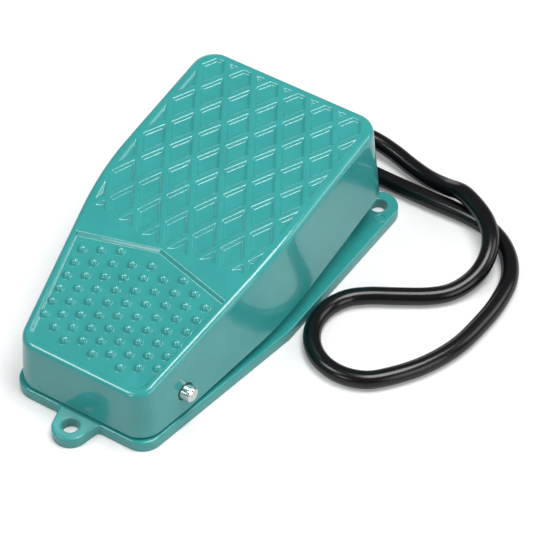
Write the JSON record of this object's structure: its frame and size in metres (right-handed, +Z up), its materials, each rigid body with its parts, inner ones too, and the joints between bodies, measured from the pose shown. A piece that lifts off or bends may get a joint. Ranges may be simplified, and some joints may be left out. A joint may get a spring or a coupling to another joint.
{
  "type": "foot pedal switch",
  "caption": "Cast foot pedal switch with a hinged treadle, diamond and stud tread, fixing ears, return spring, snap-action switch and mains cord.",
  "frame": {"origin": "underside of the base, under the middle of the casting", "axes": "+Z up, -Y towards the narrow hinged end, +Y towards the cord exit, +X to the right seen from the hinged end"},
  "size_m": [0.1852, 0.233, 0.062],
  "materials": {
    "teal_paint": "gloss",
    "bright_steel": "polished",
    "zinc_plate": "satin",
    "switch_moulding": "satin",
    "plunger_red": "gloss",
    "contact_brass": "satin",
    "black_rubber": "satin",
    "cord_sheath": "gloss",
    "core_brown": "gloss",
    "core_black": "gloss",
    "core_blue": "gloss"
  },
  "bodies": {
    "base": {"base_casting": "teal_paint", "pivot_pin": "bright_steel", "return_spring": "bright_steel", "switch_bracket": "zinc_plate", "bracket_screws": "zinc_plate", "switch_case": "switch_moulding", "switch_cover": "switch_moulding", "switch_screws": "zinc_plate", "switch_nuts": "zinc_plate", "lever_pin": "bright_steel", "terminal_com": "contact_brass", "terminal_no": "contact_brass", "terminal_nc": "contact_brass", "terminal_screws": "zinc_plate", "wire_lugs": "zinc_plate", "core_brown": "core_brown", "core_black": "core_black", "core_blue": "core_blue", "strain_relief": "black_rubber", "cord_clamp": "zinc_plate", "clamp_screws": "zinc_plate", "cord_tail": "cord_sheath", "cord": "cord_sheath"},
    "treadle": {"pedal_casting": "teal_paint", "adjust_screw": "zinc_plate", "lock_nut": "zinc_plate"},
    "lever": {"switch_lever": "bright_steel"},
    "plunger": {"switch_plunger": "plunger_red"},
    "blade": {"contact_blade": "contact_brass"}
  },
  "joints": [
    {"name": "treadle_hinge", "type": "hinge", "parent": "base", "child": "treadle", "pos_m": [0, -0.0589, 0.019], "axis": [-1, 0, 0], "range_deg": [0, 4.5], "stiffness_Nm_per_rad": 9, "springref_deg": -5.16, "deforming": ["return_spring"]},
    {"name": "lever_hinge", "type": "hinge", "parent": "base", "child": "lever", "pos_m": [0, -0.01, 0.0378], "axis": [-1, 0, 0], "range_deg": [0, 10]},
    {"name": "plunger_slide", "type": "slide", "parent": "base", "child": "plunger", "axis": [0, 0, -1], "range_m": [0, 0.0015]},
    {"name": "blade_hinge", "type": "hinge", "parent": "base", "child": "blade", "pos_m": [0, 0.024, 0.02], "axis": [1, 0, 0], "range_deg": [0, 3.8]}
  ],
  "couplings": [
    {"joint": "lever_hinge", "follows": "treadle_hinge", "ratio": 2.2},
    {"joint": "plunger_slide", "follows": "treadle_hinge", "m_per_rad": 0.018},
    {"joint": "blade_hinge", "follows": "treadle_hinge", "ratio": 0.82}
  ]
}
